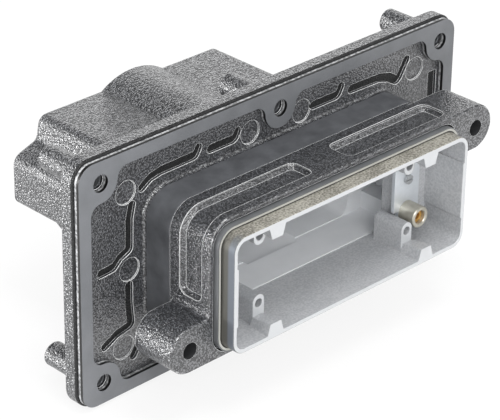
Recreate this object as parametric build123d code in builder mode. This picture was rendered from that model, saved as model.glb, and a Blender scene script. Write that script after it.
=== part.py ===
from build123d import *
import math
import os

# Heavy duty rectangular connector housing. The origin lies where the collar's axis meets
# the flange's front face. X runs along the flange, Z up and -Y out of the mouth.

# Flange plate
flange_width = 192.2
flange_offset_x = -0.9
flange_height = 98.2
flange_thickness = 6.1
flange_corner = 8.0
flange_edge_round = 0.8

# Flange bolts, tapped in blind bosses behind the plate
bolt_inset_x = 10.0
bolt_inset_z = 9.4
bolt_hole_radius = 3.0
bolt_boss_radius = 4.7
bolt_boss_length = 19.1
bolt_end_wall = 3.0

# Collar
collar_wall = 4.0
collar_corner = 10.0
collar_length = 33.0
collar_edge_round = 0.8
collar_foot_length = 13.0
collar_foot_step = 0.35
collar_foot_round = 1.2

# Pockets in the collar's walls
pocket_start = 17.5
pocket_width = 12.0
pocket_depth = 2.2
pocket_end_round = 3.5
pocket_slope = 1.5
wrap_pocket_top_end = -9.0
wrap_pocket_side_end = -5.0
straight_pocket_start = 8.3
straight_pocket_end_gap = 3.7

# Lugs
lug_reach = 9.1
lug_radius = 9.0
lug_length = 18.3
lug_hole_radius = 3.15
lug_root_round = 2.0

# Grooved field on the flange face
groove_width = 3.6
groove_depth = 1.2
groove_distance_x = 6.4
groove_distance_z = 6.4
groove_bend = 1.6
end_groove_distance = 14.6
end_groove_z = 18.0
end_groove_width = 4.6
end_groove_height = 17.6
end_groove_round = 0.6
pad_depth = 0.6
pad_radius = 4.6

# Flange gasket
gasket_thickness = 2.4
gasket_edge_gap = 1.0
gasket_side_band = 5.3
gasket_top_band = 5.0
gasket_corner = 6.5
gasket_lobe_radius = 7.7
gasket_hole_radius = 3.3
gasket_lobe_fillet = 4.5

# Seal ring round the carrier
seal_groove_width = 2.3
seal_groove_depth = 3.0
seal_width = 1.6
seal_length = 4.9
seal_clearance = 0.1

# Carrier frame
carrier_margin_x = 21.45
carrier_margin_z = 9.7
carrier_corner = 5.7
carrier_length = 27.0
carrier_stand_out = 8.0
carrier_wall = 1.8
carrier_side_wall = 1.6
carrier_rim_round = 0.4
side_pad_height = 23.0
side_pad_thickness = 0.6
carrier_clearance = 0.15
seat_ledge = 2.3
web_front = 2.0

# Rim tabs and insert bosses
insert_spacing_x = 77.5
insert_spacing_z = 27.0
insert_hole_radius = 1.7
insert_boss_width = 5.6
insert_boss_setback = 9.5
insert_boss_length = 14.0
insert_hole_depth = 11.0
tab_base_width = 8.4
tab_tip_width = 5.2
tab_reach = 4.4
tab_slope = 1.3
tab_offset_x = 0.65
insert_boss_offset = 0.6

# Carrier screws in the rear corners of the carrier
carrier_screw_inset_x = 6.2
carrier_screw_inset_z = 5.2
carrier_screw_radius = 1.5
carrier_screw_length = 9.0
carrier_head_radius = 2.6
carrier_head_height = 1.9
carrier_socket_radius = 1.4
carrier_socket_depth = 1.2
thread_clearance = 0.1
screw_hole_clearance = 0.25
carrier_lug_thickness = 3.0
housing_lug_size = 9.0
washer_radius = 2.8
washer_thickness = 0.7
washer_bore_clearance = 0.15

# Earth bracket
bracket_wall_gap = 5.6
bracket_width = 13.4
bracket_top = 8.0
bracket_height = 23.0
bracket_thickness = 1.5
bracket_face = 24.0
bracket_corner = 3.0
pier_setback = 2.8
pier_top_gap = 1.0
pier_bottom_gap = 1.2
pier_thickness = 7.4
pillar_clearance = 0.5
bracket_screw_inset_x = 6.7
bracket_screw_inset_z = 5.1
bracket_screw_radius = 1.0
bracket_head_radius = 1.9
bracket_head_height = 1.3
bracket_screw_length = 4.6
bracket_slot_width = 0.5
bracket_slot_depth = 0.5

# Earth terminal sleeve and its clamp screw
sleeve_inset_x = 6.5
sleeve_inset_z = 18.8
sleeve_radius = 4.3
sleeve_length = 7.3
sleeve_bore = 2.6
sleeve_edge = 0.4
clamp_length = 5.6
clamp_clearance = 0.1
clamp_socket_radius = 1.45
clamp_socket_depth = 2.5

# Rear hood
hood_depth = 77.8
hood_offset_x = -1.3
hood_half_width = 58.7
hood_shoulder = 45.7
hood_half_height = 23.7
hood_top_round = 4.0
hood_bend = 3.0
hood_side_round = 5.0
hood_lower_round = 3.0
hood_step_x = 47.4
hood_step_z = 14.6
hood_side_top = 10.6
hood_side_bottom = -8.0
hood_lower_step_z = -11.4
hood_wall = 3.2
hood_rear_wall = 4.5
hood_edge_round = 1.2
hood_cut_depth = 19.0
hood_cut_height = 13.0

# Round cable entry
entry_radius = 28.0
entry_crease_round = 0.8
entry_bore_radius = 24.0
entry_length = 14.0

os.makedirs("parts", exist_ok=True)

# Places that several pieces share
carrier_width = insert_spacing_x + 2 * carrier_margin_x
carrier_height = insert_spacing_z + 2 * carrier_margin_z
carrier_screw_spacing_x = carrier_width - 2 * carrier_screw_inset_x
carrier_screw_spacing_z = carrier_height - 2 * carrier_screw_inset_z
collar_width = carrier_width + 2 * collar_wall
collar_height = carrier_height + 2 * collar_wall
straight_pocket_length = collar_width / 2 - straight_pocket_end_gap - straight_pocket_start
lug_hole_x = collar_width / 2 + lug_reach
bolt_spacing_x = flange_width - 2 * bolt_inset_x
bolt_spacing_z = flange_height - 2 * bolt_inset_z
bracket_right = carrier_width / 2 - carrier_side_wall - bracket_wall_gap
bracket_left = bracket_right - bracket_width
bracket_bottom = bracket_top - bracket_height
bracket_screw_x = bracket_right - bracket_screw_inset_x
bracket_screw_z = bracket_top - bracket_screw_inset_z
sleeve_x = bracket_right - sleeve_inset_x
sleeve_z = bracket_top - sleeve_inset_z
pier_left = bracket_left + pier_setback
pier_top = bracket_top - pier_top_gap
pier_bottom = bracket_bottom + pier_bottom_gap
carrier_back = collar_length + carrier_stand_out - carrier_length
rim_plane = collar_length + carrier_stand_out
insert_plane = rim_plane - insert_boss_setback
bore_width = carrier_width + 2 * carrier_clearance
bore_height = carrier_height + 2 * carrier_clearance
cavity_width = carrier_width - 2 * seat_ledge
cavity_height = carrier_height - 2 * seat_ledge
lug_hole_z = collar_height / 2 - lug_radius
boss_end = flange_thickness + bolt_boss_length
bolt_places = [
    (i * bolt_spacing_x / 2, k * bolt_spacing_z / 2) for i in (-1, 0, 1) for k in (-1, 1)
]


def hood_outline(inset):
    """The hood's stepped section in the XZ plane, moved inwards by the inset."""
    side = hood_half_width - inset
    shoulder = hood_shoulder - inset
    top = hood_half_height - inset
    step = hood_step_x - inset
    right = [
        (shoulder, top),
        (step, hood_step_z - inset),
        (side, hood_side_top - inset),
        (side, hood_side_bottom + inset),
        (step, hood_lower_step_z + inset),
        (shoulder, -top),
    ]
    rounds = [
        hood_top_round,
        hood_bend,
        hood_side_round,
        hood_lower_round,
        hood_bend,
        hood_top_round,
    ]
    left = [(-x, z) for x, z in reversed(right)]
    points = [(x + hood_offset_x, z) for x, z in right + left]
    return points, rounds + rounds[::-1]


def lower_rear_cut(inset):
    """Triangle in the YZ plane that takes off the hood's lower rear edge."""
    slope = math.atan2(hood_cut_height, hood_cut_depth)
    run = hood_half_height
    start_y = hood_depth - hood_cut_depth - inset * math.sin(slope)
    start_z = -hood_half_height + inset * math.cos(slope)
    low = (start_y - run * math.cos(slope), start_z - run * math.sin(slope))
    high = (start_y + 2 * run * math.cos(slope), start_z + 2 * run * math.sin(slope))
    return [low, (high[0], low[1]), high]


# Space inside the hood, used below as a cut
inside_points, inside_rounds = hood_outline(hood_wall)
with BuildPart() as hood_inside:
    with BuildSketch(Plane.XZ):
        with BuildLine():
            FilletPolyline(*inside_points, radius=inside_rounds, close=True)
        make_face()
    extrude(amount=-(hood_depth - hood_rear_wall))
    with BuildSketch(Plane.YZ):
        Polygon(*lower_rear_cut(hood_wall), align=None)
    extrude(amount=hood_half_width - hood_offset_x + 1, both=True, mode=Mode.SUBTRACT)
    with BuildSketch(Plane.XZ):
        Circle(entry_radius - hood_wall)
    extrude(amount=-(hood_depth - entry_length))

# Pocket that wraps round the collar's upper left corner, used below as a cut
with BuildPart() as wrap_pocket:
    with BuildSketch(Plane.XZ.offset(pocket_start)):
        RectangleRounded(collar_width + 2, collar_height + 2, collar_corner + 1)
        RectangleRounded(
            collar_width - 2 * pocket_depth,
            collar_height - 2 * pocket_depth,
            collar_corner - pocket_depth,
            mode=Mode.SUBTRACT,
        )
        with Locations((wrap_pocket_top_end, wrap_pocket_side_end)):
            Rectangle(
                collar_width, collar_height, align=(Align.MAX, Align.MIN), mode=Mode.INTERSECT
            )
    extrude(amount=pocket_width)
    top_end = wrap_pocket.faces().filter_by(Axis.X).sort_by(Axis.X)[-1]
    side_end = wrap_pocket.faces().filter_by(Axis.Z).sort_by(Axis.Z)[0]
    fillet(
        top_end.edges().filter_by(Axis.Z) + side_end.edges().filter_by(Axis.X),
        pocket_end_round,
    )
    floor_edges = wrap_pocket.edges().filter_by(Axis.Y, reverse=True).filter_by(
        lambda edge: abs(edge.center().X) < collar_width / 2 - pocket_depth + 0.1
        and edge.center().Z < collar_height / 2 - pocket_depth + 0.1
    )
    chamfer(floor_edges, pocket_slope)

# Straight pocket in the collar's top, used below as a cut
with BuildPart() as straight_pocket:
    with BuildSketch(Plane.XY.offset(collar_height / 2 - pocket_depth)) as straight_shape:
        with Locations((straight_pocket_start, -pocket_start)):
            Rectangle(straight_pocket_length, pocket_width, align=(Align.MIN, Align.MAX))
        fillet(straight_shape.vertices(), pocket_end_round)
    extrude(amount=pocket_depth + 1)
    chamfer(straight_pocket.faces().sort_by(Axis.Z)[0].edges(), pocket_slope)

# Grooves in the field run beside the collar, broken at the round pads
channel_x = collar_width / 2 + groove_distance_x
channel_z = collar_height / 2 + groove_distance_z
groove_runs = [
    [
        (-channel_x + 5.4, channel_z - 3.7),
        (-channel_x + 9.3, channel_z - 1.2),
        (-channel_x + 14.4, channel_z - 0.2),
        (-39.8, channel_z),
        (-38.5, channel_z + 2.4),
    ],
    [(-32.5, channel_z), (-20.6, channel_z), (-19.3, channel_z + 2.3)],
    [(19.5, channel_z), (32.4, channel_z), (34.0, channel_z + 2.8)],
    [
        (39.6, channel_z),
        (channel_x - 15.6, channel_z - 0.3),
        (channel_x - 10.3, channel_z - 1.7),
        (channel_x - 5.4, channel_z - 4.7),
        (channel_x - 3.8, channel_z - 2.4),
        (channel_x - 0.7, channel_z + 2.6),
    ],
]
side_groove_runs = [
    [
        (-channel_x + 0.5, 24.6),
        (-channel_x - 0.7, 19.3),
        (-channel_x - 0.9, 7.8),
        (-channel_x - 5.2, 6.0),
        (-channel_x - 8.2, 3.2),
        (-channel_x - 14.0, 2.9),
    ],
    [
        (-channel_x - 1.2, -6.8),
        (-channel_x - 1.2, -14.3),
        (-channel_x - 0.4, -22.9),
        (-channel_x - 7.0, -24.2),
        (-channel_x - 12.7, -27.2),
    ],
]
pad_places = [
    (-channel_x - 2.2, 30.5),
    (-13.0, channel_z - 0.1),
    (13.3, channel_z - 0.3),
    (channel_x + 4.3, 31.0),
    (-channel_x - 0.8, -0.4),
    (-channel_x - 3.7, -31.0),
]
groove_lines = []
for corners in groove_runs:
    with BuildLine() as groove_run:
        FilletPolyline(*corners, radius=groove_bend)
    groove_lines.append(groove_run.wires()[0])
side_groove_lines = []
for corners in side_groove_runs:
    with BuildLine() as groove_run:
        FilletPolyline(*corners, radius=groove_bend / 2)
    side_groove_lines.append(groove_run.wires()[0])

# Housing: one casting with flange, hood, collar and lugs
outer_points, outer_rounds = hood_outline(0)
lug_root = lug_hole_x - collar_width / 2 + collar_corner
with BuildPart() as housing:
    with BuildSketch(Plane.XZ):
        with Locations((flange_offset_x, 0)):
            RectangleRounded(flange_width, flange_height, flange_corner)
    extrude(amount=-flange_thickness)
    fillet(housing.edges().filter_by(Axis.Y, reverse=True), flange_edge_round)

    # Rear hood with its cut-away lower rear edge
    with BuildSketch(Plane.XZ.offset(-flange_thickness)):
        with BuildLine():
            FilletPolyline(*outer_points, radius=outer_rounds, close=True)
        make_face()
    extrude(amount=-(hood_depth - flange_thickness))
    fillet(housing.faces().sort_by(Axis.Y)[-1].edges(), hood_edge_round)
    with BuildSketch(Plane.YZ):
        Polygon(*lower_rear_cut(0), align=None)
    extrude(amount=hood_half_width - hood_offset_x + 1, both=True, mode=Mode.SUBTRACT)

    # Round cable entry boss, from the flange to the rear face
    with BuildSketch(Plane.XZ.offset(-flange_thickness)):
        Circle(entry_radius)
    extrude(amount=-(hood_depth - flange_thickness))
    crease_edges = housing.edges().filter_by(
        lambda edge: abs(edge.center().X) < entry_radius
        and abs(edge.center().Z) > 20
        and edge.length > hood_depth / 2
        and abs(math.hypot(edge.center().X, edge.center().Z) - entry_radius) < 0.5
    )
    fillet(crease_edges, entry_crease_round)

    # Collar with its slightly larger foot
    with BuildSketch(Plane.XZ):
        RectangleRounded(
            collar_width + 2 * collar_foot_step,
            collar_height + 2 * collar_foot_step,
            collar_corner + collar_foot_step,
        )
    extrude(amount=collar_foot_length)
    with BuildSketch(Plane.XZ):
        RectangleRounded(collar_width, collar_height, collar_corner)
    extrude(amount=collar_length)

    # Two lugs on the diagonal, flush with the collar's front
    with BuildSketch(Plane.XZ.offset(collar_length - lug_length)):
        for side in (-1, 1):
            with Locations((side * lug_hole_x, side * lug_hole_z)):
                Circle(lug_radius)
            with Locations((side * (lug_hole_x - lug_root / 2), side * lug_hole_z)):
                Rectangle(lug_root, 2 * lug_radius)
    extrude(amount=lug_length)
    lug_root_edges = housing.edges().filter_by(Axis.Y).filter_by(
        lambda edge: abs(abs(edge.center().X) - collar_width / 2) < 0.1
        and abs(abs(edge.center().Z) - (lug_hole_z - lug_radius)) < 0.1
    )
    fillet(lug_root_edges, lug_root_round)
    fillet(housing.faces().sort_by(Axis.Y)[0].edges(), collar_edge_round)
    foot_edges = housing.edges().filter_by_position(Axis.Y, -0.01, 0.01).filter_by(
        lambda edge: abs(edge.center().X) < collar_width / 2 + 2
        and abs(edge.center().Z) < collar_height / 2 + 2
    )
    fillet(foot_edges, collar_foot_round)

    # Blind bosses behind the six tapped holes
    with BuildSketch(Plane.XZ.offset(-flange_thickness)):
        with Locations(*bolt_places):
            Circle(bolt_boss_radius)
    extrude(amount=-bolt_boss_length)
    fillet(
        housing.edges().filter_by_position(Axis.Y, boss_end - 0.01, boss_end + 0.01),
        flange_edge_round,
    )

    # Hollow hood, then the entry's own ring and bore
    add(hood_inside.part, mode=Mode.SUBTRACT)
    with BuildSketch(Plane.XZ.offset(-(hood_depth - entry_length))):
        Circle(entry_radius)
        Circle(entry_bore_radius, mode=Mode.SUBTRACT)
    extrude(amount=-entry_length)
    with BuildSketch(Plane.XZ.offset(-(hood_depth - entry_length))):
        Circle(entry_bore_radius)
    extrude(amount=-entry_length, mode=Mode.SUBTRACT)

    # Pockets, the second pair turned half round
    add(wrap_pocket.part, mode=Mode.SUBTRACT)
    add(wrap_pocket.part.rotate(Axis.Y, 180), mode=Mode.SUBTRACT)
    add(straight_pocket.part, mode=Mode.SUBTRACT)
    add(straight_pocket.part.rotate(Axis.Y, 180), mode=Mode.SUBTRACT)

    # Seal groove, carrier bore and the space behind it, which leaves four screw lugs
    with BuildSketch(Plane.XZ.offset(collar_length)):
        RectangleRounded(
            carrier_width + 2 * seal_groove_width,
            carrier_height + 2 * seal_groove_width,
            carrier_corner + seal_groove_width,
        )
    extrude(amount=-seal_groove_depth, mode=Mode.SUBTRACT)
    with BuildSketch(Plane.XZ.offset(collar_length)):
        RectangleRounded(bore_width, bore_height, carrier_corner + carrier_clearance)
    extrude(amount=-(collar_length - carrier_back), mode=Mode.SUBTRACT)
    with BuildSketch(Plane.XZ.offset(carrier_back)):
        RectangleRounded(cavity_width, cavity_height, carrier_corner - seat_ledge)
        with GridLocations(carrier_screw_spacing_x, carrier_screw_spacing_z, 2, 2):
            Rectangle(housing_lug_size, housing_lug_size, mode=Mode.SUBTRACT)
    extrude(amount=-(carrier_back + web_front), mode=Mode.SUBTRACT)
    with BuildSketch(Plane.XZ.offset(carrier_back)):
        with GridLocations(carrier_screw_spacing_x, carrier_screw_spacing_z, 2, 2):
            Circle(carrier_screw_radius + thread_clearance)
    extrude(amount=-carrier_screw_length, mode=Mode.SUBTRACT)

    # Tapped flange holes and plain lug holes
    with BuildSketch(Plane.XZ):
        with Locations(*bolt_places):
            Circle(bolt_hole_radius)
    extrude(amount=-(boss_end - bolt_end_wall), mode=Mode.SUBTRACT)
    with BuildSketch(Plane.XZ.offset(collar_length)):
        with Locations((-lug_hole_x, -lug_hole_z), (lug_hole_x, lug_hole_z)):
            Circle(lug_hole_radius)
    extrude(amount=-lug_length, mode=Mode.SUBTRACT)

    # Grooves and round pads in the field, the same again turned half round
    with BuildSketch(Plane.XZ):
        for groove_line in groove_lines:
            SlotArc(groove_line, groove_width)
            SlotArc(groove_line, groove_width, rotation=180)
        for groove_line in side_groove_lines:
            SlotArc(groove_line, groove_width)
        for level in (-1, 1):
            with Locations((channel_x + end_groove_distance, level * end_groove_z)):
                RectangleRounded(end_groove_width, end_groove_height, end_groove_round)
    extrude(amount=-groove_depth, mode=Mode.SUBTRACT)
    with BuildSketch(Plane.XZ):
        for x, z in pad_places:
            with Locations((x, z), (-x, -z)):
                Circle(pad_radius)
    extrude(amount=-pad_depth, mode=Mode.SUBTRACT)
housing.part.label = "housing"
export_step(housing.part, "parts/housing.step")

# Flat flange gasket with a round lobe about each hole
gasket_inner_x = flange_width / 2 - gasket_edge_gap - gasket_side_band
gasket_inner_z = flange_height / 2 - gasket_edge_gap - gasket_top_band
with BuildPart() as flange_gasket:
    with BuildSketch(Plane.XZ) as gasket_shape:
        with Locations((flange_offset_x, 0)):
            RectangleRounded(
                flange_width - 2 * gasket_edge_gap,
                flange_height - 2 * gasket_edge_gap,
                gasket_corner,
            )
            Rectangle(2 * gasket_inner_x, 2 * gasket_inner_z, mode=Mode.SUBTRACT)
        with Locations(*bolt_places):
            Circle(gasket_lobe_radius)
        lobe_roots = gasket_shape.vertices().filter_by(
            lambda spot: abs(abs(spot.X - flange_offset_x) - gasket_inner_x) < 0.01
            or abs(abs(spot.Y) - gasket_inner_z) < 0.01
        )
        fillet(lobe_roots, gasket_lobe_fillet)
        with Locations(*bolt_places):
            Circle(gasket_hole_radius, mode=Mode.SUBTRACT)
    extrude(amount=gasket_thickness)
flange_gasket.part.label = "flange_gasket"
export_step(flange_gasket.part, "parts/flange_gasket.step")

# Seal ring, seated on the floor of its groove
with BuildPart() as collar_seal:
    with BuildSketch(Plane.XZ.offset(collar_length - seal_groove_depth)):
        RectangleRounded(
            carrier_width + 2 * (seal_clearance + seal_width),
            carrier_height + 2 * (seal_clearance + seal_width),
            carrier_corner + seal_clearance + seal_width,
        )
        RectangleRounded(
            carrier_width + 2 * seal_clearance,
            carrier_height + 2 * seal_clearance,
            carrier_corner + seal_clearance,
            mode=Mode.SUBTRACT,
        )
    extrude(amount=seal_length)
collar_seal.part.label = "collar_seal"
export_step(collar_seal.part, "parts/collar_seal.step")

# Carrier frame, seated on the ledge at the back of the bore
inner_width = carrier_width - 2 * carrier_side_wall
inner_height = carrier_height - 2 * carrier_wall
boss_round = insert_boss_width / 2
boss_centre_z = insert_spacing_z / 2 - insert_boss_offset
boss_root = carrier_height / 2 - carrier_wall / 2 - boss_centre_z
plate_back = bracket_face - bracket_thickness
with BuildPart() as carrier_frame:
    with BuildSketch(Plane.XZ.offset(carrier_back)):
        RectangleRounded(carrier_width, carrier_height, carrier_corner)
        RectangleRounded(
            inner_width, inner_height, carrier_corner - carrier_wall, mode=Mode.SUBTRACT
        )
        for side in (-1, 1):
            with Locations((side * inner_width / 2, 0)):
                Rectangle(2 * side_pad_thickness, side_pad_height)
    extrude(amount=carrier_length)
    rim_face = carrier_frame.faces().sort_by(Axis.Y)[0]
    fillet(rim_face.outer_wire().edges(), carrier_rim_round)

    # Four bosses that take the insert's screws
    for side in (-1, 1):
        for level in (-1, 1):
            with BuildSketch(Plane.XZ.offset(insert_plane - insert_boss_length)):
                with Locations((side * insert_spacing_x / 2, level * boss_centre_z)):
                    Circle(boss_round)
                with Locations(
                    (side * insert_spacing_x / 2, level * (boss_centre_z + boss_root / 2))
                ):
                    Rectangle(insert_boss_width, boss_root)
            extrude(amount=insert_boss_length)

            # Rib that widens into a tab flush with the rim
            tab_x = side * (insert_spacing_x / 2 + tab_offset_x)
            tab_root = level * (carrier_height / 2 - carrier_wall / 2)
            tab_tip = level * (inner_height / 2 - tab_reach)
            rib_tip = level * (inner_height / 2 - tab_reach + tab_slope)
            with BuildSketch(Plane.XZ.offset(insert_plane)):
                Polygon(
                    (tab_x - tab_base_width / 2, tab_root),
                    (tab_x - tab_tip_width / 2, rib_tip),
                    (tab_x + tab_tip_width / 2, rib_tip),
                    (tab_x + tab_base_width / 2, tab_root),
                    align=None,
                )
            with BuildSketch(Plane.XZ.offset(rim_plane)):
                Polygon(
                    (tab_x - tab_base_width / 2, tab_root),
                    (tab_x - tab_tip_width / 2, tab_tip),
                    (tab_x + tab_tip_width / 2, tab_tip),
                    (tab_x + tab_base_width / 2, tab_root),
                    align=None,
                )
            loft()
    with BuildSketch(Plane.XZ.offset(insert_plane)):
        with GridLocations(insert_spacing_x, insert_spacing_z, 2, 2):
            Circle(insert_hole_radius)
    extrude(amount=-insert_hole_depth, mode=Mode.SUBTRACT)

    # Corner lugs for the four screws into the housing, rooted in the walls
    with BuildSketch(Plane.XZ.offset(carrier_back)):
        with GridLocations(carrier_screw_spacing_x, carrier_screw_spacing_z, 2, 2):
            Rectangle(
                2 * carrier_screw_inset_x - carrier_side_wall,
                2 * carrier_screw_inset_z - carrier_wall,
            )
        RectangleRounded(carrier_width, carrier_height, carrier_corner, mode=Mode.INTERSECT)
    extrude(amount=carrier_lug_thickness)
    with BuildSketch(Plane.XZ.offset(carrier_back)):
        with GridLocations(carrier_screw_spacing_x, carrier_screw_spacing_z, 2, 2):
            Circle(carrier_screw_radius + screw_hole_clearance)
    extrude(amount=carrier_lug_thickness, mode=Mode.SUBTRACT)

    # Pier on the right wall that the earth bracket lies on
    pier_width = inner_width / 2 + side_pad_thickness - pier_left
    with BuildSketch(Plane.XZ.offset(plate_back - pier_thickness)):
        with Locations((pier_left, pier_bottom)):
            Rectangle(pier_width, pier_top - pier_bottom, align=(Align.MIN, Align.MIN))
    extrude(amount=pier_thickness)
    with BuildSketch(Plane.XZ.offset(plate_back)):
        with Locations((bracket_screw_x, bracket_screw_z)):
            Circle(bracket_screw_radius + thread_clearance)
    extrude(amount=-bracket_screw_length, mode=Mode.SUBTRACT)
carrier_frame.part.label = "carrier_frame"
export_step(carrier_frame.part, "parts/carrier_frame.step")

# Spring washers under the carrier screws
washer_plane = carrier_back + carrier_lug_thickness
with BuildPart() as carrier_washers:
    with BuildSketch(Plane.XZ.offset(washer_plane)):
        with GridLocations(carrier_screw_spacing_x, carrier_screw_spacing_z, 2, 2):
            Circle(washer_radius)
            Circle(carrier_screw_radius + washer_bore_clearance, mode=Mode.SUBTRACT)
    extrude(amount=washer_thickness)
carrier_washers.part.label = "carrier_washers"
export_step(carrier_washers.part, "parts/carrier_washers.step")

# Four socket screws that hold the carrier to the housing
head_plane = washer_plane + washer_thickness
with BuildPart() as carrier_screws:
    with BuildSketch(Plane.XZ.offset(head_plane)):
        with GridLocations(carrier_screw_spacing_x, carrier_screw_spacing_z, 2, 2):
            Circle(carrier_head_radius)
    extrude(amount=carrier_head_height)
    with BuildSketch(Plane.XZ.offset(head_plane)):
        with GridLocations(carrier_screw_spacing_x, carrier_screw_spacing_z, 2, 2):
            Circle(carrier_screw_radius)
    extrude(amount=-carrier_screw_length)
    with BuildSketch(Plane.XZ.offset(head_plane + carrier_head_height)):
        with GridLocations(carrier_screw_spacing_x, carrier_screw_spacing_z, 2, 2):
            RegularPolygon(carrier_socket_radius, 6)
    extrude(amount=-carrier_socket_depth, mode=Mode.SUBTRACT)
carrier_screws.part.label = "carrier_screws"
export_step(carrier_screws.part, "parts/carrier_screws.step")

# Earth bracket: a sheet plate on the pier, notched round the insert boss
pillar_right = insert_spacing_x / 2 + boss_round + pillar_clearance
pillar_top = -(boss_centre_z - boss_round) + pillar_clearance
with BuildPart() as earth_bracket:
    with BuildSketch(Plane.XZ.offset(plate_back)) as bracket_shape:
        Polygon(
            (bracket_left, bracket_top),
            (bracket_left, pillar_top),
            (pillar_right, pillar_top),
            (pillar_right, bracket_bottom),
            (bracket_right, bracket_bottom),
            (bracket_right, bracket_top),
            align=None,
        )
        right_corners = bracket_shape.vertices().filter_by_position(
            Axis.X, bracket_right - 0.01, bracket_right + 0.01
        )
        fillet(right_corners, bracket_corner)
        with Locations((bracket_screw_x, bracket_screw_z)):
            Circle(bracket_screw_radius + screw_hole_clearance, mode=Mode.SUBTRACT)
    extrude(amount=bracket_thickness)
earth_bracket.part.label = "earth_bracket"
export_step(earth_bracket.part, "parts/earth_bracket.step")

# Small slotted screw that holds the bracket
with BuildPart() as bracket_screw:
    with BuildSketch(Plane.XZ.offset(bracket_face)):
        with Locations((bracket_screw_x, bracket_screw_z)):
            Circle(bracket_head_radius)
    extrude(amount=bracket_head_height)
    with BuildSketch(Plane.XZ.offset(bracket_face)):
        with Locations((bracket_screw_x, bracket_screw_z)):
            Circle(bracket_screw_radius)
    extrude(amount=-bracket_screw_length)
    with BuildSketch(Plane.XZ.offset(bracket_face + bracket_head_height)):
        with Locations((bracket_screw_x, bracket_screw_z)):
            Rectangle(2 * bracket_head_radius, bracket_slot_width)
    extrude(amount=-bracket_slot_depth, mode=Mode.SUBTRACT)
bracket_screw.part.label = "bracket_screw"
export_step(bracket_screw.part, "parts/bracket_screw.step")

# Round terminal sleeve that stands on the bracket
with BuildPart() as earth_sleeve:
    with BuildSketch(Plane.XZ.offset(bracket_face)):
        with Locations((sleeve_x, sleeve_z)):
            Circle(sleeve_radius)
            Circle(sleeve_bore, mode=Mode.SUBTRACT)
    extrude(amount=sleeve_length)
    chamfer(earth_sleeve.faces().sort_by(Axis.Y)[0].edges(), sleeve_edge)
earth_sleeve.part.label = "earth_sleeve"
export_step(earth_sleeve.part, "parts/earth_sleeve.step")

# Brass clamp screw in the sleeve, seated on the bracket
with BuildPart() as earth_clamp_screw:
    with BuildSketch(Plane.XZ.offset(bracket_face)):
        with Locations((sleeve_x, sleeve_z)):
            Circle(sleeve_bore - clamp_clearance)
    extrude(amount=clamp_length)
    with BuildSketch(Plane.XZ.offset(bracket_face + clamp_length)):
        with Locations((sleeve_x, sleeve_z)):
            RegularPolygon(clamp_socket_radius, 6)
    extrude(amount=-clamp_socket_depth, mode=Mode.SUBTRACT)
earth_clamp_screw.part.label = "earth_clamp_screw"
export_step(earth_clamp_screw.part, "parts/earth_clamp_screw.step")
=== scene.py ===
import math

import bmesh
import bpy
from mathutils import Matrix, Vector


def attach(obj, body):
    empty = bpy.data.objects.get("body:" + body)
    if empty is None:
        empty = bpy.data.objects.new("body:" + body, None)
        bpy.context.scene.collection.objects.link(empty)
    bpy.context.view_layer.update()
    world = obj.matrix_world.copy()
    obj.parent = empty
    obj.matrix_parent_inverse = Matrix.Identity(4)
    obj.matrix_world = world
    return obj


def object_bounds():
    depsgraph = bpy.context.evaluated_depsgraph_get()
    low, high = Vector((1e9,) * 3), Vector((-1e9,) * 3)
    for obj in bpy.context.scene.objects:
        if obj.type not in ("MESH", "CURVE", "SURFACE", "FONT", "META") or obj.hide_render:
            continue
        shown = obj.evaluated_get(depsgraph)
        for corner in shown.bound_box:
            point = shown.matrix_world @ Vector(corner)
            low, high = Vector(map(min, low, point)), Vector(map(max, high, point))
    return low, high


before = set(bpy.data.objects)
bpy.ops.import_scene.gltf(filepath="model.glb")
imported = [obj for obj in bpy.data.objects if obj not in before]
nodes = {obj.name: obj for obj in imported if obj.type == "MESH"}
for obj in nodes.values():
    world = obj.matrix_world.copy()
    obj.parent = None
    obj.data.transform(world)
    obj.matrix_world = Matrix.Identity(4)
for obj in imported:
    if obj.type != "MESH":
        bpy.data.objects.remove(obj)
cad_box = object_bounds()
MM = 0.001

# Where the finishes change, in mm. Halves are half sizes along X and Z.
FLANGE_MIDDLE_X = -0.9
FLANGE_HALVES = (96.1, 49.1)
FLANGE_CORNER = 8.0
FLANGE_EDGE_WIDTH = 0.95
FLANGE_EDGE_BACK = 0.75
FIELD_HALVES = (88.0, 44.0)
FIELD_BACK = 3.0
GROOVE_FLOOR = 1.2
FOOT_HALVES = (64.9, 27.9)
FOOT_MIDDLE = -7.2
FOOT_REACH = 5.85
LUG_BORE_SPOT = (73.3, 18.2)
LUG_BORE_RADIUS = 3.25
LUG_BACK = -14.6
CARRIER_SEAT = -14.4
INNER_WALL_HALVES = (61.5, 30.0)
INNER_WEB_HALVES = (60.5, 24.0)
SEAL_HALVES = (60.3, 23.3)
SEAL_CORNER = 5.8
CARRIER_HALVES = (60.2, 23.2)
CARRIER_CORNER = 5.7
CARRIER_WALL = 0.45
INSERT_FACES = -31.3
GASKET_FACE = -2.35


# Colour and node helpers

def linear(hex_colour, alpha=1.0):
    """A colour written as sRGB hex, as the linear values that a shader takes."""
    values = []
    for start in (1, 3, 5):
        level = int(hex_colour[start:start + 2], 16) / 255
        values.append(level / 12.92 if level <= 0.04045 else ((level + 0.055) / 1.055) ** 2.4)
    return (*values, alpha)


def add_node(tree, kind, settings, inputs):
    """Adds one node: its settings, then each input as a value or as another node's output."""
    node = tree.nodes.new(kind)
    for name, value in settings.items():
        setattr(node, name, value)
    for name, value in inputs.items():
        if isinstance(value, bpy.types.NodeSocket):
            tree.links.new(value, node.inputs[name])
        else:
            node.inputs[name].default_value = value
    return node.outputs


def new_material(name):
    """An empty node material, and the object's own coordinates in it."""
    material = bpy.data.materials.new(name)
    material.use_nodes = True
    tree = material.node_tree
    tree.nodes.clear()
    place = add_node(tree, "ShaderNodeTexCoord", {}, {})["Object"]
    return material, tree, place


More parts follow.
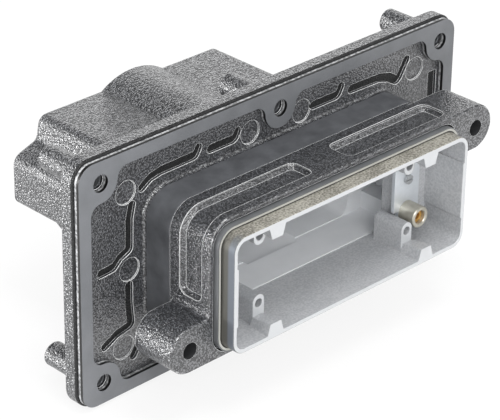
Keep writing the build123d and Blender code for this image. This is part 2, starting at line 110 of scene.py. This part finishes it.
def outline_distance(tree, place, middle_x, halves, corner):
    """Distance outside a rounded rectangle in the XZ plane, negative inside it."""
    moved = add_node(
        tree, "ShaderNodeVectorMath", {"operation": "SUBTRACT"},
        {0: place, 1: (middle_x * MM, 0, 0)},
    )["Vector"]
    spot = add_node(tree, "ShaderNodeSeparateXYZ", {}, {"Vector": moved})
    sides = []
    for axis, half in zip("XZ", halves):
        size = add_node(tree, "ShaderNodeMath", {"operation": "ABSOLUTE"}, {0: spot[axis]})[0]
        past = add_node(
            tree, "ShaderNodeMath", {"operation": "SUBTRACT"},
            {0: size, 1: (half - corner) * MM},
        )[0]
        sides.append(
            add_node(tree, "ShaderNodeMath", {"operation": "MAXIMUM"}, {0: past, 1: 0.0})[0]
        )
    past_corner = add_node(
        tree, "ShaderNodeCombineXYZ", {}, {"X": sides[0], "Y": sides[1]},
    )[0]
    reach = add_node(
        tree, "ShaderNodeVectorMath", {"operation": "LENGTH"}, {0: past_corner},
    )["Value"]
    return add_node(
        tree, "ShaderNodeMath", {"operation": "SUBTRACT"}, {0: reach, 1: corner * MM},
    )[0]


def inside_rectangle(tree, across, upright, halves):
    """1 where |X| and |Z| are both under the halves, 0 elsewhere."""
    under = [
        add_node(tree, "ShaderNodeMath", {"operation": "LESS_THAN"}, {0: size, 1: half * MM})[0]
        for size, half in zip((across, upright), halves)
    ]
    return add_node(
        tree, "ShaderNodeMath", {"operation": "MULTIPLY"}, {0: under[0], 1: under[1]},
    )[0]


def seen_or_mirrored(tree):
    """1 for rays from the camera, off gloss or through glass, 0 for soft light."""
    ray = add_node(tree, "ShaderNodeLightPath", {}, {})
    camera_or_glossy = add_node(
        tree, "ShaderNodeMath", {"operation": "MAXIMUM"},
        {0: ray["Is Camera Ray"], 1: ray["Is Glossy Ray"]},
    )[0]
    return add_node(
        tree, "ShaderNodeMath", {"operation": "MAXIMUM"},
        {0: camera_or_glossy, 1: ray["Is Transmission Ray"]},
    )[0]


# Materials

def powder_coated_die_casting():
    """Black powder coat with a leather grain on die-cast aluminium, bare metal inside.

    The coat is a glossy black whose rounded grains, under a millimetre across, catch the
    light one by one, so that faces turned to it read as a grey sparkle and the others as
    near black; the grain tops are painted lighter and the crevices darker, as painted shade.
    Sharp edges of the field and the collar carry a painted near-white highlight, groove
    floors and the flange's rolled front edge are painted near black as painted shade, and
    the collar's foot is nearly smooth. Inside the hood and behind the carrier the casting
    was masked and stays a plain light grey; the lug bores are bare too, and painted dark
    as painted shade.
    """
    material, tree, place = new_material("powder_coated_die_casting")
    spot = add_node(tree, "ShaderNodeSeparateXYZ", {}, {"Vector": place})
    across = add_node(tree, "ShaderNodeMath", {"operation": "ABSOLUTE"}, {0: spot["X"]})[0]
    upright = add_node(tree, "ShaderNodeMath", {"operation": "ABSOLUTE"}, {0: spot["Z"]})[0]
    facing = add_node(tree, "ShaderNodeNewGeometry", {}, {})["True Normal"]
    turned = add_node(tree, "ShaderNodeSeparateXYZ", {}, {"Vector": facing})

    # Grain: round grains about 0.7 mm apart, warped by a softer wave
    wave = add_node(
        tree, "ShaderNodeTexNoise", {},
        {"Vector": place, "Scale": 1 / (0.65 * MM), "Detail": 2.0, "Roughness": 0.55},
    )
    warp = 0.4 * MM
    warped = add_node(
        tree, "ShaderNodeVectorMath", {"operation": "MULTIPLY_ADD"},
        {0: wave["Color"], 1: (warp, warp, warp), 2: place},
    )["Vector"]
    grain = add_node(
        tree, "ShaderNodeTexVoronoi", {"feature": "SMOOTH_F1"},
        {"Vector": warped, "Scale": 1 / (0.7 * MM), "Smoothness": 0.35},
    )["Distance"]
    height = add_node(
        tree, "ShaderNodeMath", {"operation": "MULTIPLY_ADD"},
        {0: grain, 1: -1.0, 2: wave["Fac"]},
    )[0]

    # The collar's foot was machined before coating, so its grain is faint
    foot_outline = inside_rectangle(tree, across, upright, FOOT_HALVES)
    foot_depth = add_node(
        tree, "ShaderNodeMath", {"operation": "COMPARE"},
        {0: spot["Y"], 1: FOOT_MIDDLE * MM, 2: FOOT_REACH * MM},
    )[0]
    smooth = add_node(
        tree, "ShaderNodeMath", {"operation": "MULTIPLY"}, {0: foot_outline, 1: foot_depth},
    )[0]
    strength = add_node(
        tree, "ShaderNodeMapRange", {},
        {"Value": smooth, "From Min": 0.0, "From Max": 1.0, "To Min": 1.0, "To Max": 0.1},
    )["Result"]
    soft_edge = add_node(
        tree, "ShaderNodeBevel", {"samples": 8}, {"Radius": 0.36 * MM},
    )["Normal"]
    coat_bump = add_node(
        tree, "ShaderNodeBump", {},
        {"Strength": strength, "Distance": 0.23 * MM, "Height": height, "Normal": soft_edge},
    )["Normal"]
    # Painted shade: the grain's crevices are painted darker and its tops lighter
    grain_tops_lit = add_node(
        tree, "ShaderNodeMapRange", {},
        {"Value": height, "From Min": -0.1, "From Max": 0.4, "To Min": 0.0, "To Max": 1.0},
    )["Result"]
    shade = add_node(
        tree, "ShaderNodeMix", {"data_type": "RGBA"},
        {"Factor": grain_tops_lit, "A": linear("#212225"), "B": linear("#595B60")},
    )["Result"]

    # Painted highlight: the field's and the collar's sharp edges are painted near white
    flatness = add_node(
        tree, "ShaderNodeVectorMath", {"operation": "DOT_PRODUCT"}, {0: soft_edge, 1: facing},
    )["Value"]
    sharp = add_node(
        tree, "ShaderNodeMapRange", {},
        {"Value": flatness, "From Min": 0.99, "From Max": 0.95, "To Min": 0.0, "To Max": 1.0},
    )["Result"]
    field_outline = inside_rectangle(tree, across, upright, FIELD_HALVES)
    field_depth = add_node(
        tree, "ShaderNodeMath", {"operation": "LESS_THAN"}, {0: spot["Y"], 1: FIELD_BACK * MM},
    )[0]
    field = add_node(
        tree, "ShaderNodeMath", {"operation": "MULTIPLY"}, {0: field_outline, 1: field_depth},
    )[0]
    painted_edge_highlight = add_node(tree, "ShaderNodeMath", {"operation": "MULTIPLY"}, {0: sharp, 1: field})[0]
    with_edge_highlight = add_node(
        tree, "ShaderNodeMix", {"data_type": "RGBA"},
        {"Factor": painted_edge_highlight, "A": shade, "B": linear("#EEEFF0")},
    )["Result"]

    # Painted shade: groove floors and the flange's rolled front edge are painted near black, with
    # little coat gloss
    at_floor = add_node(
        tree, "ShaderNodeMath", {"operation": "COMPARE"},
        {0: spot["Y"], 1: GROOVE_FLOOR * MM, 2: 0.08 * MM},
    )[0]
    forward = add_node(
        tree, "ShaderNodeMath", {"operation": "LESS_THAN"}, {0: turned["Y"], 1: -0.9},
    )[0]
    groove_floor = add_node(
        tree, "ShaderNodeMath", {"operation": "MULTIPLY"}, {0: at_floor, 1: forward},
    )[0]
    past_flange = outline_distance(tree, place, FLANGE_MIDDLE_X, FLANGE_HALVES, FLANGE_CORNER)
    at_edge = add_node(
        tree, "ShaderNodeMath", {"operation": "GREATER_THAN"},
        {0: past_flange, 1: -FLANGE_EDGE_WIDTH * MM},
    )[0]
    at_front = add_node(
        tree, "ShaderNodeMath", {"operation": "LESS_THAN"},
        {0: spot["Y"], 1: FLANGE_EDGE_BACK * MM},
    )[0]
    rolled_edge = add_node(
        tree, "ShaderNodeMath", {"operation": "MULTIPLY"}, {0: at_edge, 1: at_front},
    )[0]
    painted_dark_mask = add_node(
        tree, "ShaderNodeMath", {"operation": "MAXIMUM"}, {0: groove_floor, 1: rolled_edge},
    )[0]
    with_painted_shade = add_node(
        tree, "ShaderNodeMix", {"data_type": "RGBA"},
        {"Factor": painted_dark_mask, "A": with_edge_highlight, "B": linear("#141516")},
    )["Result"]

    # Painted shade: the crevices between the grains get less coat gloss, as they hold little
    # light
    open_gloss = add_node(
        tree, "ShaderNodeMapRange", {},
        {"Value": grain_tops_lit, "From Min": 0.0, "From Max": 0.4, "To Min": 0.45, "To Max": 1.0},
    )["Result"]
    gloss = add_node(
        tree, "ShaderNodeMix", {"data_type": "FLOAT"}, {0: painted_dark_mask, 2: open_gloss, 3: 0.12},
    )[0]
    coat = add_node(
        tree, "ShaderNodeBsdfPrincipled", {},
        {"Base Color": with_painted_shade, "Roughness": 0.6, "IOR": 1.4, "Normal": coat_bump,
         "Coat Weight": gloss, "Coat Roughness": 0.1, "Coat IOR": 2.5,
         "Coat Normal": coat_bump},
    )[0]
    foot_cloud = add_node(
        tree, "ShaderNodeTexNoise", {},
        {"Vector": place, "Scale": 1 / (7 * MM), "Detail": 3.0},
    )["Fac"]
    foot_shade = add_node(
        tree, "ShaderNodeMix", {"data_type": "RGBA"},
        {"Factor": foot_cloud, "A": linear("#303134"), "B": linear("#65676B")},
    )["Result"]
    foot_coat = add_node(
        tree, "ShaderNodeBsdfPrincipled", {},
        {"Base Color": foot_shade, "Roughness": 0.5, "IOR": 1.45, "Normal": coat_bump},
    )[0]
    painted = add_node(
        tree, "ShaderNodeMixShader", {}, {"Fac": smooth, 1: coat, 2: foot_coat},
    )[0]

    # The two lug bores were drilled after coating; their cut metal lies in shade, and is painted
    # dark grey as painted shade
    flat_place = add_node(
        tree, "ShaderNodeCombineXYZ", {}, {"X": spot["X"], "Z": spot["Z"]},
    )[0]
    bores = []
    for side in (-1, 1):
        bore_axis = (side * LUG_BORE_SPOT[0] * MM, 0, side * LUG_BORE_SPOT[1] * MM)
        off_axis = add_node(
            tree, "ShaderNodeVectorMath", {"operation": "DISTANCE"},
            {0: flat_place, 1: bore_axis},
        )["Value"]
        bores.append(add_node(
            tree, "ShaderNodeMath", {"operation": "LESS_THAN"},
            {0: off_axis, 1: LUG_BORE_RADIUS * MM},
        )[0])
    either_bore = add_node(
        tree, "ShaderNodeMath", {"operation": "ADD"}, {0: bores[0], 1: bores[1]},
    )[0]
    in_lug = add_node(
        tree, "ShaderNodeMath", {"operation": "LESS_THAN"}, {0: spot["Y"], 1: LUG_BACK * MM},
    )[0]
    bored = add_node(
        tree, "ShaderNodeMath", {"operation": "MULTIPLY"}, {0: either_bore, 1: in_lug},
    )[0]

    # Bare casting: soft grey with faint flow clouds
    cloud = add_node(
        tree, "ShaderNodeTexNoise", {},
        {"Vector": place, "Scale": 1 / (14 * MM), "Detail": 4.0},
    )["Fac"]
    as_cast = add_node(
        tree, "ShaderNodeMix", {"data_type": "RGBA"},
        {"Factor": cloud, "A": linear("#D2D4D6"), "B": linear("#E6E7E9")},
    )["Result"]
    bare_shade = add_node(
        tree, "ShaderNodeMix", {"data_type": "RGBA"},
        {"Factor": bored, "A": as_cast, "B": linear("#38393B")},
    )["Result"]
    bare = add_node(
        tree, "ShaderNodeBsdfPrincipled", {},
        {"Base Color": bare_shade, "Roughness": 0.6, "Metallic": 0.25},
    )[0]

    # Behind the carrier's seat, walls that look to the axis and webs that look out are bare
    inward_x = add_node(
        tree, "ShaderNodeMath", {"operation": "MULTIPLY"}, {0: spot["X"], 1: turned["X"]},
    )[0]
    inward = add_node(
        tree, "ShaderNodeMath", {"operation": "MULTIPLY_ADD"},
        {0: spot["Z"], 1: turned["Z"], 2: inward_x},
    )[0]
    to_axis = add_node(
        tree, "ShaderNodeMath", {"operation": "LESS_THAN"}, {0: inward, 1: -0.5 * MM},
    )[0]
    to_mouth = add_node(
        tree, "ShaderNodeMath", {"operation": "LESS_THAN"}, {0: turned["Y"], 1: -0.5},
    )[0]
    wall_outline = inside_rectangle(tree, across, upright, INNER_WALL_HALVES)
    web_outline = inside_rectangle(tree, across, upright, INNER_WEB_HALVES)
    walls = add_node(
        tree, "ShaderNodeMath", {"operation": "MULTIPLY"}, {0: to_axis, 1: wall_outline},
    )[0]
    webs = add_node(
        tree, "ShaderNodeMath", {"operation": "MULTIPLY"}, {0: to_mouth, 1: web_outline},
    )[0]
    either = add_node(
        tree, "ShaderNodeMath", {"operation": "MAXIMUM"}, {0: walls, 1: webs},
    )[0]
    behind_seat = add_node(
        tree, "ShaderNodeMath", {"operation": "GREATER_THAN"},
        {0: spot["Y"], 1: CARRIER_SEAT * MM},
    )[0]
    masked = add_node(
        tree, "ShaderNodeMath", {"operation": "MULTIPLY"}, {0: behind_seat, 1: either},
    )[0]
    uncoated = add_node(
        tree, "ShaderNodeMath", {"operation": "MAXIMUM"}, {0: masked, 1: bored},
    )[0]
    surface = add_node(
        tree, "ShaderNodeMixShader", {}, {"Fac": uncoated, 1: painted, 2: bare},
    )[0]
    add_node(tree, "ShaderNodeOutputMaterial", {}, {"Surface": surface})
    return material


def flat_sheet_rubber():
    """Moulded rubber gasket: its face painted satin grey as sheen, its sides black as shade, with
    a painted highlight line.
    """
    material, tree, place = new_material("flat_sheet_rubber")
    spot = add_node(tree, "ShaderNodeSeparateXYZ", {}, {"Vector": place})
    dust = add_node(
        tree, "ShaderNodeTexNoise", {},
        {"Vector": place, "Scale": 1 / (9 * MM), "Detail": 5.0},
    )["Fac"]
    # Painted sheen: towards the left end the face is painted paler
    painted_left_sheen = add_node(
        tree, "ShaderNodeMapRange", {},
        {"Value": spot["X"], "From Min": -20 * MM, "From Max": -85 * MM, "To Min": 0.0,
         "To Max": 0.25},
    )["Result"]
    # dull mixes the face's random dust tone with that painted sheen
    dull = add_node(
        tree, "ShaderNodeMath", {"operation": "MULTIPLY_ADD"}, {0: dust, 1: 0.5, 2: painted_left_sheen},
    )[0]
    # Painted sheen: the black rubber's face is painted grey, far lighter than its sides
    face = add_node(
        tree, "ShaderNodeMix", {"data_type": "RGBA"},
        {"Factor": dull, "A": linear("#545659"), "B": linear("#85878B")},
    )["Result"]

    # Sides: painted near black as painted shade, with a broken painted highlight line between two
    # dark bands
    above_line = add_node(
        tree, "ShaderNodeMath", {"operation": "MULTIPLY_ADD"},
        {0: spot["Y"], 1: 1 / MM, 2: 0.7},
    )[0]
    off_line = add_node(tree, "ShaderNodeMath", {"operation": "ABSOLUTE"}, {0: above_line})[0]
    painted_highlight_line = add_node(
        tree, "ShaderNodeMapRange", {},
        {"Value": off_line, "From Min": 0.35, "From Max": 0.6, "To Min": 1.0, "To Max": 0.0},
    )["Result"]
    spark = add_node(
        tree, "ShaderNodeTexNoise", {},
        {"Vector": place, "Scale": 1 / (1.2 * MM), "Detail": 1.0},
    )["Fac"]
    broken = add_node(
        tree, "ShaderNodeMapRange", {},
        {"Value": spark, "From Min": 0.4, "From Max": 0.6, "To Min": 0.35, "To Max": 1.0},
    )["Result"]
    broken_highlight = add_node(
        tree, "ShaderNodeMath", {"operation": "MULTIPLY"}, {0: painted_highlight_line, 1: broken},
    )[0]
    side = add_node(
        tree, "ShaderNodeMix", {"data_type": "RGBA"},
        {"Factor": broken_highlight, "A": linear("#0C0C0C"), "B": linear("#C2C3C5")},
    )["Result"]
    on_face = add_node(
        tree, "ShaderNodeMath", {"operation": "LESS_THAN"}, {0: spot["Y"], 1: GASKET_FACE * MM},
    )[0]
    colour = add_node(
        tree, "ShaderNodeMix", {"data_type": "RGBA"}, {"Factor": on_face, "A": side, "B": face},
    )["Result"]

    # Pores are finer on real rubber, and are drawn at 0.9 mm so that they show
    pores = add_node(
        tree, "ShaderNodeTexNoise", {},
        {"Vector": place, "Scale": 1 / (0.9 * MM), "Detail": 2.0},
    )["Fac"]
    soft_edge = add_node(
        tree, "ShaderNodeBevel", {"samples": 6}, {"Radius": 0.3 * MM},
    )["Normal"]
    bump = add_node(
        tree, "ShaderNodeBump", {},
        {"Strength": 0.3, "Distance": 0.1 * MM, "Height": pores, "Normal": soft_edge},
    )["Normal"]
    surface = add_node(
        tree, "ShaderNodeBsdfPrincipled", {},
        {"Base Color": colour, "Roughness": 0.38, "IOR": 1.52, "Normal": bump},
    )[0]
    add_node(tree, "ShaderNodeOutputMaterial", {}, {"Surface": surface})
    return material


def moulded_seal_rubber():
    """Moulded profile rubber, mid grey, with a painted highlight on the lip and a painted shade
    line in the gap at the carrier.
    """
    material, tree, place = new_material("moulded_seal_rubber")
    flow = add_node(
        tree, "ShaderNodeTexNoise", {},
        {"Vector": place, "Scale": 1 / (6 * MM), "Detail": 4.0},
    )["Fac"]
    body = add_node(
        tree, "ShaderNodeMix", {"data_type": "RGBA"},
        {"Factor": flow, "A": linear("#545658"), "B": linear("#6E7072")},
    )["Result"]
    past_carrier = outline_distance(tree, place, 0.0, SEAL_HALVES, SEAL_CORNER)
    # Painted highlight: a pale band along the lip, beside the carrier
    lip_highlight_mask = add_node(
        tree, "ShaderNodeMath", {"operation": "COMPARE"},
        {0: past_carrier, 1: 0.75 * MM, 2: 0.4 * MM},
    )[0]
    with_lip_highlight = add_node(
        tree, "ShaderNodeMix", {"data_type": "RGBA"},
        {"Factor": lip_highlight_mask, "A": body, "B": linear("#B4B4AE")},
    )["Result"]
    # Painted shade: a near-black line in the gap between seal and carrier
    gap_shade_mask = add_node(
        tree, "ShaderNodeMath", {"operation": "LESS_THAN"}, {0: past_carrier, 1: 0.35 * MM},
    )[0]
    shade = add_node(
        tree, "ShaderNodeMix", {"data_type": "RGBA"},
        {"Factor": gap_shade_mask, "A": with_lip_highlight, "B": linear("#1C1C18")},
    )["Result"]
    soft_edge = add_node(
        tree, "ShaderNodeBevel", {"samples": 6}, {"Radius": 0.35 * MM},
    )["Normal"]
    surface = add_node(
        tree, "ShaderNodeBsdfPrincipled", {},
        {"Base Color": shade, "Roughness": 0.42, "IOR": 1.5, "Normal": soft_edge},
    )[0]
    add_node(tree, "ShaderNodeOutputMaterial", {}, {"Surface": surface})
    return material


def bare_die_casting():
    """Bare die-cast carrier: dull gritty skin, bright milled rim, tabs and boss faces."""
    material, tree, place = new_material("bare_die_casting")
    spot = add_node(tree, "ShaderNodeSeparateXYZ", {}, {"Vector": place})
    facing = add_node(tree, "ShaderNodeNewGeometry", {}, {})["True Normal"]
    turned = add_node(tree, "ShaderNodeSeparateXYZ", {}, {"Vector": facing})
    cloud = add_node(
        tree, "ShaderNodeTexNoise", {},
        {"Vector": place, "Scale": 1 / (11 * MM), "Detail": 4.0},
    )["Fac"]
    # The die's grit is finer on the real skin, and is drawn at 0.8 mm so that it shows
    grit = add_node(
        tree, "ShaderNodeTexNoise", {},
        {"Vector": place, "Scale": 1 / (0.8 * MM), "Detail": 3.0},
    )["Fac"]
    mottle = add_node(
        tree, "ShaderNodeMath", {"operation": "MULTIPLY_ADD"}, {0: cloud, 1: 0.35, 2: grit},
    )[0]
    skin_share = add_node(
        tree, "ShaderNodeMapRange", {},
        {"Value": mottle, "From Min": 0.55, "From Max": 0.8, "To Min": 0.0, "To Max": 1.0},
    )["Result"]
    inner_skin = add_node(
        tree, "ShaderNodeMix", {"data_type": "RGBA"},
        {"Factor": skin_share, "A": linear("#B0B2B5"), "B": linear("#C4C5C7")},
    )["Result"]

    # Outside, the skin is warmer and darker; its end walls get painted shade, and a painted
    # bluish highlight near the rim
    outer_skin = add_node(
        tree, "ShaderNodeMix", {"data_type": "RGBA"},
        {"Factor": skin_share, "A": linear("#75726A"), "B": linear("#B9B6AC")},
    )["Result"]
    end_share = add_node(
        tree, "ShaderNodeMath", {"operation": "ABSOLUTE"}, {0: turned["X"]},
    )[0]
    end_walls_shaded = add_node(
        tree, "ShaderNodeMix", {"data_type": "RGBA"},
        {"Factor": end_share, "A": outer_skin, "B": linear("#5C5B56")},
    )["Result"]
    near_rim = add_node(
        tree, "ShaderNodeMapRange", {},
        {"Value": spot["Y"], "From Min": -37.6 * MM, "From Max": -38.4 * MM, "To Min": 0.0,
         "To Max": 0.75},
    )["Result"]
    # Painted highlight: a bluish band on the end walls near the rim
    rim_highlight_share = add_node(
        tree, "ShaderNodeMath", {"operation": "MULTIPLY"}, {0: end_share, 1: near_rim},
    )[0]
    outer_shade = add_node(
        tree, "ShaderNodeMix", {"data_type": "RGBA"},
        {"Factor": rim_highlight_share, "A": end_walls_shaded, "B": linear("#747B86")},
    )["Result"]
    past_outline = outline_distance(tree, place, 0.0, CARRIER_HALVES, CARRIER_CORNER)
    outside = add_node(
        tree, "ShaderNodeMath", {"operation": "GREATER_THAN"},
        {0: past_outline, 1: -CARRIER_WALL * MM},
    )[0]
    cast = add_node(
        tree, "ShaderNodeMix", {"data_type": "RGBA"},
        {"Factor": outside, "A": inner_skin, "B": outer_shade},
    )["Result"]

    # Rim, tabs and boss faces were milled
    forward = add_node(
        tree, "ShaderNodeMath", {"operation": "LESS_THAN"}, {0: turned["Y"], 1: -0.9},
    )[0]
    in_front = add_node(
        tree, "ShaderNodeMath", {"operation": "LESS_THAN"},
        {0: spot["Y"], 1: INSERT_FACES * MM},
    )[0]
    milled = add_node(
        tree, "ShaderNodeMath", {"operation": "MULTIPLY"}, {0: forward, 1: in_front},
    )[0]
    colour = add_node(
        tree, "ShaderNodeMix", {"data_type": "RGBA"},
        {"Factor": milled, "A": cast, "B": linear("#C8CACC")},
    )["Result"]
    roughness = add_node(
        tree, "ShaderNodeMapRange", {},
        {"Value": milled, "From Min": 0.0, "From Max": 1.0, "To Min": 0.55, "To Max": 0.38},
    )["Result"]
    soft_edge = add_node(
        tree, "ShaderNodeBevel", {"samples": 6}, {"Radius": 0.3 * MM},
    )["Normal"]
    bump = add_node(
        tree, "ShaderNodeBump", {},
        {"Strength": 0.25, "Distance": 0.08 * MM, "Height": grit, "Normal": soft_edge},
    )["Normal"]
    surface = add_node(
        tree, "ShaderNodeBsdfPrincipled", {},
        {"Base Color": colour, "Metallic": 0.35, "Roughness": roughness, "Normal": bump},
    )[0]
    add_node(tree, "ShaderNodeOutputMaterial", {}, {"Surface": surface})
    return material


def small_metal_part(name, light, dark, roughness):
    """Plated, turned or freshly cut metal: clean and pale, with faint clouding."""
    material, tree, place = new_material(name)
    cloud = add_node(
        tree, "ShaderNodeTexNoise", {},
        {"Vector": place, "Scale": 1 / (2.5 * MM), "Detail": 3.0},
    )["Fac"]
    colour = add_node(
        tree, "ShaderNodeMix", {"data_type": "RGBA"},
        {"Factor": cloud, "A": linear(dark), "B": linear(light)},
    )["Result"]
    soft_edge = add_node(
        tree, "ShaderNodeBevel", {"samples": 6}, {"Radius": 0.2 * MM},
    )["Normal"]
    surface = add_node(
        tree, "ShaderNodeBsdfPrincipled", {},
        {"Base Color": colour, "Metallic": 0.6, "Roughness": roughness, "Normal": soft_edge},
    )[0]
    add_node(tree, "ShaderNodeOutputMaterial", {}, {"Surface": surface})
    return material


screw_zinc = small_metal_part("zinc_plated_screw", "#B4B6B8", "#9A9C9E", 0.35)
# Painted shade: the tapped threads' bare aluminium is painted dark grey, as it lies deep in the
# holes
tapped_metal = small_metal_part("tapped_aluminium_thread", "#8C8E91", "#5C5E61", 0.3)
finishes = {
    "housing": powder_coated_die_casting(),
    "flange_gasket": flat_sheet_rubber(),
    "collar_seal": moulded_seal_rubber(),
    "carrier_frame": bare_die_casting(),
    "carrier_screws": screw_zinc,
    "carrier_washers": screw_zinc,
    "earth_bracket": small_metal_part("bright_plated_sheet", "#E4E8EC", "#D2D7DC", 0.35),
    "bracket_screw": screw_zinc,
    "earth_sleeve": small_metal_part("turned_plated_steel", "#C4C0B4", "#A8A598", 0.32),
    "earth_clamp_screw": small_metal_part("turned_brass", "#D9AE66", "#B5853C", 0.3),
}
for node, finish in finishes.items():
    for slot in nodes[node].material_slots:
        slot.material = finish


# Threads in the tapped holes

def thread_rings(name, holes, crest, root, pitch, start, end, steps):
    """V-shaped thread ridges inside round holes along Y, turned as one zigzag sleeve a hole."""
    shape = bmesh.new()
    turns = int(round((end - start) / pitch))
    sleeve = root + 0.15
    for x, z in holes:
        profile = []
        for turn in range(turns):
            foot = start + turn * pitch
            profile.append((root, foot))
            profile.append((crest, foot + pitch / 2))
        last = start + turns * pitch
        profile += [(root, last), (sleeve, last), (sleeve, start)]
        corners = [
            shape.verts.new(((x + radius) * MM, y * MM, z * MM)) for radius, y in profile
        ]
        edges = [
            shape.edges.new((corner, following))
            for corner, following in zip(corners, corners[1:] + corners[:1])
        ]
        bmesh.ops.spin(
            shape, geom=corners + edges, cent=(x * MM, 0, z * MM), axis=(0, 1, 0),
            angle=2 * math.pi, steps=steps, use_merge=True,
        )
    bmesh.ops.recalc_face_normals(shape, faces=shape.faces)
    mesh = bpy.data.meshes.new(name)
    shape.to_mesh(mesh)
    shape.free()
    mesh.materials.append(tapped_metal)
    piece = bpy.data.objects.new(name, mesh)
    bpy.context.scene.collection.objects.link(piece)
    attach(piece, "root")


flange_holes = [(x, z) for x in (-86.1, 0.0, 86.1) for z in (-39.7, 39.7)]
thread_rings("flange_hole_threads", flange_holes, 2.55, 2.8, 1.0, 1.0, 17.0, 32)
thread_rings("cable_entry_thread", [(0.0, 0.0)], 23.1, 23.8, 1.5, 64.3, 77.3, 96)


# Floor, light and camera

def pale_floor():
    """A wide pale plane under the flange's lower edge."""
    half_size = 6.0
    drop = 0.2 * MM
    shape = bmesh.new()
    bmesh.ops.create_grid(shape, x_segments=1, y_segments=1, size=half_size)
    bmesh.ops.translate(shape, verts=shape.verts, vec=(0, 0, cad_box[0][2] - drop))
    mesh = bpy.data.meshes.new("floor")
    shape.to_mesh(mesh)
    shape.free()
    floor = bpy.data.objects.new("floor", mesh)
    bpy.context.scene.collection.objects.link(floor)

    # Mostly plain white where it is seen, and enough paper left to hold the shadow
    material, tree, place = new_material("pale_studio_floor")
    paper = add_node(
        tree, "ShaderNodeBsdfPrincipled", {},
        {"Base Color": linear("#F4F4F4"), "Roughness": 0.9},
    )[0]
    white = add_node(
        tree, "ShaderNodeEmission", {}, {"Color": (1, 1, 1, 1), "Strength": 1.0},
    )[0]
    share = add_node(
        tree, "ShaderNodeMath", {"operation": "MULTIPLY"}, {0: seen_or_mirrored(tree), 1: 0.85},
    )[0]
    surface = add_node(
        tree, "ShaderNodeMixShader", {}, {"Fac": share, 1: paper, 2: white},
    )[0]
    add_node(tree, "ShaderNodeOutputMaterial", {}, {"Surface": surface})
    mesh.materials.append(material)


def soft_light(name, place, target, width, height, power):
    """One softbox, aimed at a point on the object."""
    lamp = bpy.data.lights.new(name, "AREA")
    lamp.shape = "RECTANGLE"
    lamp.size = width
    lamp.size_y = height
    lamp.energy = power
    holder = bpy.data.objects.new(name, lamp)
    holder.location = place
    aim = Vector(target) - Vector(place)
    holder.rotation_mode = "QUATERNION"
    holder.rotation_quaternion = aim.to_track_quat("-Z", "Y")
    bpy.context.scene.collection.objects.link(holder)


def studio_world(level, ceiling):
    """A white sweep up to about 30 degrees, then a dim ceiling; plain soft light otherwise."""
    world = bpy.data.worlds.new("studio")
    world.use_nodes = True
    tree = world.node_tree
    tree.nodes.clear()
    direction = add_node(tree, "ShaderNodeTexCoord", {}, {})["Generated"]
    rise = add_node(tree, "ShaderNodeSeparateXYZ", {}, {"Vector": direction})["Z"]
    sweep = add_node(
        tree, "ShaderNodeMapRange", {},
        {"Value": rise, "From Min": 0.48, "From Max": 0.62, "To Min": 1.0, "To Max": ceiling},
    )["Result"]
    strength = add_node(
        tree, "ShaderNodeMix", {"data_type": "FLOAT"},
        {0: seen_or_mirrored(tree), 2: level, 3: sweep},
    )[0]
    light = add_node(
        tree, "ShaderNodeBackground", {}, {"Color": (1, 1, 1, 1), "Strength": strength},
    )[0]
    add_node(tree, "ShaderNodeOutputWorld", {}, {"Surface": light})
    bpy.context.scene.world = world


def product_camera():
    """The photograph's view: from the front left and above, with a long lens."""
    turn, rise, tilt = math.radians(44.82), math.radians(28.33), math.radians(0.91)
    target = Vector((-12.40, 0.0, 1.62)) * MM
    distance = 884.5 * MM
    back = Vector((
        -math.sin(turn) * math.cos(rise), -math.cos(turn) * math.cos(rise), math.sin(rise),
    ))
    right = (-back).cross(Vector((0, 0, 1))).normalized()
    up = right.cross(-back)
    right, up = (
        right * math.cos(tilt) + up * math.sin(tilt),
        up * math.cos(tilt) - right * math.sin(tilt),
    )
    lens = bpy.data.cameras.new("product_camera")
    lens.sensor_fit = "HORIZONTAL"
    lens.sensor_width = 36.0
    lens.lens = 174.5
    lens.clip_start = 0.05
    lens.clip_end = 50.0
    camera = bpy.data.objects.new("product_camera", lens)
    place = Matrix((right, up, back)).transposed().to_4x4()
    place.translation = target + back * distance
    camera.matrix_world = place
    bpy.context.scene.collection.objects.link(camera)
    bpy.context.scene.camera = camera


pale_floor()
studio_world(level=0.95, ceiling=0.05)
soft_light("back_wall_softbox", (0.35, 1.5, 0.25), (0, 0, 0.05), 3.2, 0.7, 7.5)
soft_light("camera_side_softbox", (-0.55, -1.15, 0.75), (0, 0, 0), 0.8, 0.6, 10.0)
soft_light("left_softbox", (-1.25, 0.8, 0.06), (0, 0, 0), 0.9, 0.22, 12.0)
soft_light("top_softbox", (0.0, -0.35, 1.4), (0, 0, 0), 0.5, 0.5, 7.0)
product_camera()
bpy.context.scene.view_settings.view_transform = "Standard"
